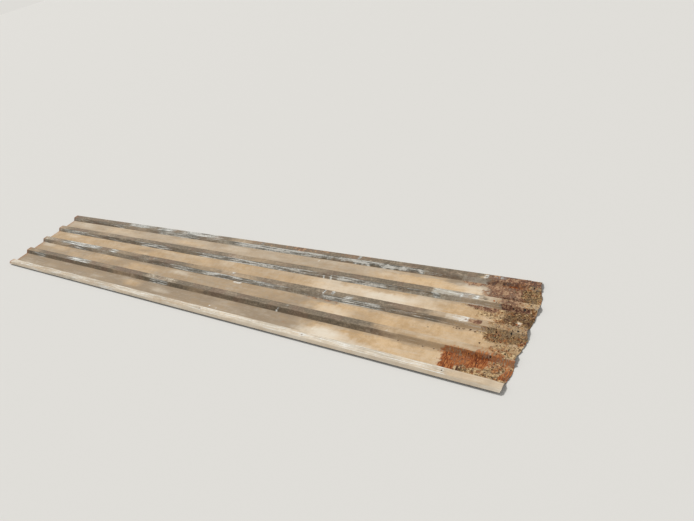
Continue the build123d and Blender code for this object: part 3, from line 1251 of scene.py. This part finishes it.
@dataclass(frozen=True)
class GalvanisedSteel:
    """Hot-dip galvanised sheet steel after decades outdoors.

    The zinc has gone dull and brown-grey, with a low broken sheen on the bare webs, partly its own
    metal shine and partly painted into its colour as pale streaks. Tan road dust lies dry and chalky
    in the pans, and red rust grows through both as rough dry grain.
    Widths and depths are in millimetres. A share is how much of the second pattern a blend takes,
    a span is noise from and to and cover from and to, and a swing is how far noise moves a field.
    """

    # Rust and dust are finer than a millimetre. The grain is drawn as coarse as it needs to be to show.
    grain: Cloud = Cloud(3.0, 2.0)
    fleck: Cloud = Cloud(13.0, 3.0)
    patch: Cloud = Cloud(34.0, 4.0)
    broad: Cloud = Cloud(190.0, 4.0)
    # Streaks of zinc are 165 mm long and run with the ribs. Runs of rust are 32 mm long and cross them.
    streak: Cloud = Cloud(6.0, 3.0, squeeze=(6.0 / 165.0, 1.0, 1.0))
    rust_run: Cloud = Cloud(6.0, 3.0, squeeze=(1.0, 6.0 / 32.0, 6.0 / 32.0))
    noise_span: tuple[float, float] = (0.3, 0.7)
    worn_share: float = 0.42
    speck_share: float = 0.5
    ragged_share: float = 0.5
    frayed_share: float = 0.35
    zinc: Ramp = ((0.0, "#cbc3b1"), (0.5, "#958570"), (1.0, "#695e4e"))
    zinc_swings: tuple[float, float] = (0.56, 0.26)
    zinc_brown: str = "#7d614f"
    brown_span: tuple[float, ...] = (0.48, 0.6, 0.0, 0.42)
    # Where oxide is painted the zinc turns cool slate with pale streaks of painted sheen, a painted
    # reflection of the sky
    slate_and_sheen: Ramp = ((0.44, "#666966"), (0.58, "#c3c2b8"))
    slate_and_sheen_share: float = 0.3
    slate_and_sheen_span: tuple[float, ...] = (0.06, 0.42, 0.0, 0.8)
    dust: Ramp = ((0.43, "#bf9f76"), (0.57, "#dabb92"))
    dust_shares: tuple[float, float] = (0.55, 0.46)
    # Colour of grime, and of the painted shade along the foot of each rib
    grime: str = "#9a8872"
    grime_swing: float = 0.28
    chalk: str = "#e6dac6"
    chalk_swing: float = 0.22
    oxide: tuple[str, str] = ("#d9dbd4", "#faf7f0")
    oxide_share: float = 0.32
    # The darkest stop is painted shade in the gaps between the crumbs, and the hollow shade is painted
    # shade over sunken patches
    scale: Ramp = ((0.43, "#3d2c1b"), (0.485, "#8a6d47"), (0.53, "#c09b69"), (0.58, "#d6bd93"))
    scale_red: str = "#9a6238"
    scale_red_span: tuple[float, ...] = (0.5, 0.62, 0.0, 0.55)
    scale_hollow_shade: str = "#3d2c1b"
    scale_hollow_shade_span: tuple[float, ...] = (0.48, 0.4, 0.0, 0.5)
    old_rust: Ramp = ((0.43, "#55332a"), (0.5, "#7d5640"), (0.57, "#b39273"))
    red_rust: Ramp = ((0.425, "#471f0f"), (0.495, "#8e4a22"), (0.575, "#b97a48"))
    red_rust_share: float = 0.5
    red_rust_shares: tuple[float, float] = (0.42, 0.55)
    pit: str = "#4a3020"
    # How far noise moves the edge of each cover, and half the width of that edge
    covers: dict[Finish, tuple[float, float]] = field(default_factory=lambda: {
        DUST: (0.32, 0.4), OXIDE_AND_SHEEN: (0.84, 0.26), SCALE: (0.8, 0.26),
        OLD_RUST: (0.85, 0.24), RED_RUST: (0.5, 0.26), PITS: (0.6, 0.16),
    })
    cover_start: tuple[float, float] = (0.02, 0.15)
    bare_rough: float = 0.66
    dry_rough: float = 0.88
    bare_metal: float = 0.14
    specular: float = 0.25
    # Strength of the relief on streaked zinc and on dry rust
    bump: tuple[float, float] = (0.2, 1.0)
    bump_depth: float = 3.0


@dataclass(frozen=True)
class ShelteredSteel(GalvanisedSteel):
    """The same steel on its underside, where no dust settles and the zinc stays grey and smoother."""

    dust: Ramp = ((0.43, "#978d7e"), (0.57, "#b3aa9b"))
    chalk: str = "#c2bcb0"
    grime: str = "#847a6c"
    bare_rough: float = 0.55
    bare_metal: float = 0.3


class SheetDresser:
    """Builds the finish of the sheet in one material, from its painted fields and from noise."""

    def __init__(self, look: GalvanisedSteel, material: bpy.types.Material) -> None:
        """Empty the material and lay out the patterns that its finishes share.

        Args:
            look: the look that the finish is made to.
            material: the material that takes it.
        """
        self.look = look
        material.use_nodes = True
        self.tree = material.node_tree
        self.tree.nodes.clear()
        self.place = self.add(Kind.OBJECT_PLACE)
        self.grain = self.pattern(look.grain)
        self.fleck = self.pattern(look.fleck)
        self.patch = self.pattern(look.patch)
        self.broad = self.pattern(look.broad)
        self.streak = self.pattern(look.streak)
        self.rust_run = self.pattern(look.rust_run)
        self.worn = self.add(Kind.BLEND, look.worn_share, self.streak, self.patch)
        self.speck = self.add(Kind.BLEND, look.speck_share, self.fleck, self.grain)
        self.ragged = self.add(Kind.BLEND, look.ragged_share, self.patch, self.fleck)
        self.frayed = self.add(Kind.BLEND, look.frayed_share, self.ragged, self.grain)

    def add(self, kind: Kind, *values: Value, stops: Ramp = (), **settings: str) -> bpy.types.NodeSocket:
        """Add one node to the material, as add_node does."""
        return add_node(self.tree, kind, *values, stops=stops, **settings)

    def pattern(self, cloud: Cloud) -> bpy.types.NodeSocket:
        """Add noise of one real size, drawn out where it is squeezed along an axis.

        Args:
            cloud: its size and shape.

        Returns:
            The noise.
        """
        place = self.place
        if cloud.squeeze:
            place = self.add(Kind.MAPPING, place, cloud.squeeze)
        return self.add(Kind.NOISE, place, 1 / (cloud.width * MM), cloud.detail, cloud.rough)

    def stir(self, value: bpy.types.NodeSocket, noise: bpy.types.NodeSocket, swing: float,
             kind: Kind = Kind.HELD_SUM) -> bpy.types.NodeSocket:
        """Push a value up and down by noise.

        Args:
            value: the value.
            noise: the noise.
            swing: how far it pushes.
            kind: whether the sum is held between 0 and 1.

        Returns:
            The sum.
        """
        return self.add(kind, value, self.add(Kind.RANGE, noise, *self.look.noise_span, -swing, swing))

    def cover(self, finish: Finish, breaker: bpy.types.NodeSocket) -> bpy.types.NodeSocket:
        """Turn a soft field into a broken-edged cover.

        Args:
            finish: the painted field.
            breaker: noise that breaks its edge up.

        Returns:
            A share from 0 to 1.
        """
        swing, width = self.look.covers[finish]
        painted = self.add(Kind.PAINTED, attribute_name=finish.value)
        total = self.stir(painted, breaker, swing, Kind.SUM)
        share = self.add(Kind.EASED_RANGE, total, 0.5 - width, 0.5 + width, 0.0, 1.0)
        some = self.add(Kind.RANGE, painted, *self.look.cover_start, 0.0, 1.0)
        return self.add(Kind.PRODUCT, share, some)

    def zinc(self) -> bpy.types.NodeSocket:
        """Make the bare zinc: worn in streaks, browned in broad clouds, and cool slate with pale streaks of
        painted sheen where oxide is painted.

        Returns:
            Its colour.
        """
        look = self.look
        tone = self.stir(self.add(Kind.PAINTED, attribute_name=SHADE.value), self.worn, look.zinc_swings[0])
        tone = self.stir(tone, self.fleck, look.zinc_swings[1])
        colour = self.add(Kind.RAMP, tone, stops=look.zinc)
        browned = self.add(Kind.RANGE, self.broad, *look.brown_span)
        colour = self.add(Kind.MIX, browned, colour, look.zinc_brown)
        slate_and_sheen = self.add(Kind.RANGE, self.add(Kind.PAINTED, attribute_name=OXIDE_AND_SHEEN.value), *look.slate_and_sheen_span)
        sheen = self.add(Kind.BLEND, look.slate_and_sheen_share, self.streak, self.speck)
        return self.add(Kind.MIX, slate_and_sheen, colour, self.add(Kind.RAMP, sheen, stops=look.slate_and_sheen))

    def dust(self) -> bpy.types.NodeSocket:
        """Make the road dust, with grime, chalk and the painted shade along the foot of each rib in it.

        Returns:
            Its colour.
        """
        look = self.look
        mottle = self.add(Kind.BLEND, look.dust_shares[0], self.patch, self.speck)
        mottle = self.add(Kind.BLEND, look.dust_shares[1], mottle, self.broad)
        colour = self.add(Kind.RAMP, mottle, stops=look.dust)
        for finish, swing, own in (
            (GRIME_AND_PAINTED_SHADE, look.grime_swing, look.grime),
            (CHALK, look.chalk_swing, look.chalk),
        ):
            painted = self.add(Kind.PAINTED, attribute_name=finish.value)
            colour = self.add(Kind.MIX, self.stir(painted, self.worn, swing), colour, own)
        return colour

    def scale(self) -> bpy.types.NodeSocket:
        """Make the rust scale: pale crumbs over gaps of painted shade, reddened in patches and darkened by
        painted shade in others.

        Returns:
            Its colour.
        """
        look = self.look
        colour = self.add(Kind.RAMP, self.fleck, stops=look.scale)
        for span, own in ((look.scale_red_span, look.scale_red), (look.scale_hollow_shade_span, look.scale_hollow_shade)):
            colour = self.add(Kind.MIX, self.add(Kind.RANGE, self.patch, *span), colour, own)
        return colour

    def red_rust(self) -> bpy.types.NodeSocket:
        """Make the red rust, darker and lighter in grain and in runs down the slopes.

        Returns:
            Its colour.
        """
        shares = self.look.red_rust_shares
        coarse = self.add(Kind.BLEND, shares[0], self.ragged, self.grain)
        coarse = self.add(Kind.BLEND, shares[1], coarse, self.rust_run)
        return self.add(Kind.RAMP, coarse, stops=self.look.red_rust)

    def dress(self) -> None:
        """Lay the finishes on each other, the youngest last, and give them their surface."""
        look = self.look
        streaked = self.add(Kind.BLEND, look.oxide_share, self.streak, self.speck)
        fringed = self.add(Kind.BLEND, look.red_rust_share, self.frayed, self.rust_run)
        colour = self.zinc()
        covers = {}
        for finish, breaker, own in (
            (DUST, self.worn, self.dust()),
            (OXIDE_AND_SHEEN, streaked, self.add(Kind.MIX, self.fleck, *look.oxide)),
            (SCALE, self.frayed, self.scale()),
            (OLD_RUST, self.frayed, self.add(Kind.RAMP, self.ragged, stops=look.old_rust)),
            (RED_RUST, fringed, self.red_rust()),
            (PITS, self.fleck, look.pit),
        ):
            covers[finish] = self.cover(finish, breaker)
            colour = self.add(Kind.MIX, covers[finish], colour, own)
        dry = self.add(Kind.LARGER, covers[SCALE], covers[RED_RUST])
        dry = self.add(Kind.LARGER, dry, covers[OLD_RUST])
        matt = self.add(Kind.LARGER, dry, covers[DUST])
        matt = self.add(Kind.LARGER, matt, covers[OXIDE_AND_SHEEN])
        height = self.add(Kind.BLEND, covers[DUST], self.streak, self.grain)
        height = self.add(Kind.BLEND, dry, height, self.fleck)
        bump = self.add(Kind.BUMP, self.add(Kind.BLEND, dry, *look.bump), look.bump_depth * MM, height)
        rough = self.add(Kind.BLEND, matt, look.bare_rough, look.dry_rough)
        metal = self.add(Kind.BLEND, matt, look.bare_metal, 0.0)
        self.add(Kind.SURFACE, self.add(Kind.SHEET_STEEL, colour, rough, metal, look.specular, bump))


@dataclass
class Studio:
    """Pale floor, soft light and the camera that looks down along the sheet."""

    floor_half: float = 80.0
    floor_colour: str = "#dedcd7"
    floor_rough: float = 0.9
    floor_specular: float = 0.1
    sky_strength: float = 0.42
    sun_strength: float = 2.25
    sun_turn: float = 60.0
    sun_height: float = 56.0
    sun_spread: float = 9.0
    lens: float = 25.99
    sensor: float = 36.0
    sight: float = 500.0
    camera_place: tuple[float, float, float] = (2.9083, -1.8889, 2.0641)
    camera_turn: tuple[float, float, float] = (53.564, 13.791, 29.688)

    def floor(self) -> bpy.types.Object:
        """Lay the floor under the sheet.

        Returns:
            Its object.
        """
        shape = bmesh.new()
        bmesh.ops.create_grid(shape, x_segments=1, y_segments=1, size=self.floor_half)
        made = link_mesh(shape, "floor")
        material = bpy.data.materials.new("matt_pale_floor")
        material.use_nodes = True
        shader = material.node_tree.nodes["Principled BSDF"]
        shader.inputs["Base Color"].default_value = hex_to_linear(self.floor_colour)
        shader.inputs["Roughness"].default_value = self.floor_rough
        shader.inputs["Specular IOR Level"].default_value = self.floor_specular
        made.data.materials.append(material)
        return made

    def lights(self) -> None:
        """Set the sky's even light and one broad sun from behind and to the left."""
        world = bpy.data.worlds.new("studio")
        world.use_nodes = True
        tree = world.node_tree
        tree.nodes.clear()
        seen = add_node(tree, Kind.CAMERA_RAY)
        path = seen.node
        for ray in ("Is Glossy Ray", "Is Transmission Ray"):
            seen = add_node(tree, Kind.LARGER, seen, path.outputs[ray])
        soft = add_node(tree, Kind.SKY, (1.0, 1.0, 1.0, 1.0), self.sky_strength)
        wall = add_node(tree, Kind.SKY, self.floor_colour, 1.0)
        add_node(tree, Kind.WORLD, add_node(tree, Kind.EITHER, seen, soft, wall))
        bpy.context.scene.world = world
        lamp = bpy.data.lights.new("broad_sun", "SUN")
        lamp.energy = self.sun_strength
        lamp.angle = math.radians(self.sun_spread)
        made = bpy.data.objects.new("broad_sun", lamp)
        turn = 0, math.radians(90 - self.sun_height), math.radians(90 + self.sun_turn)
        made.rotation_euler = Euler(turn)
        bpy.context.scene.collection.objects.link(made)

    def camera(self) -> None:
        """Stand the camera beyond the rusted end, at head height."""
        eye = bpy.data.cameras.new("camera")
        eye.lens = self.lens
        eye.sensor_width = self.sensor
        eye.sensor_fit = "HORIZONTAL"
        eye.clip_end = self.sight
        made = bpy.data.objects.new("camera", eye)
        made.location = self.camera_place
        made.rotation_euler = Euler([math.radians(turn) for turn in self.camera_turn], "XYZ")
        bpy.context.scene.collection.objects.link(made)
        bpy.context.scene.camera = made


def main() -> None:
    """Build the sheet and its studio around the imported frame."""
    logging.basicConfig(level=logging.INFO, format="%(name)s: %(message)s")
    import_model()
    low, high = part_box(NODE)
    section = Section(
        near_edge=low.y / MM, far_edge=high.y / MM, length=(high.x - low.x) / MM, top=high.z / MM
    )
    holes = ScrewHoles()
    swept = SweptSheet(section, RaggedEnd(section), holes)
    weathering = Weathering(section, holes)
    sheet = swept.roll()
    Crumple(section).press(sheet, weathering.fields(read_points(sheet)))
    swept.thicken(sheet)
    weathering.paint(sheet)
    LooseScale(section).scatter(sheet)
    upper, under = sheet.data.materials
    SheetDresser(GalvanisedSteel(), upper).dress()
    SheetDresser(ShelteredSteel(), under).dress()
    sheet.data.set_sharp_from_angle(angle=math.radians(SHARP_DEGREES))
    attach(sheet, BODY)
    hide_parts(NODE)
    sheet.data.calc_loop_triangles()
    LOG.info("%s: %d triangles", sheet.name, len(sheet.data.loop_triangles))
    studio = Studio()
    studio.floor()
    studio.lights()
    studio.camera()
    view = bpy.context.scene.view_settings
    view.view_transform = "Standard"


if __name__ == "__main__":
    main()
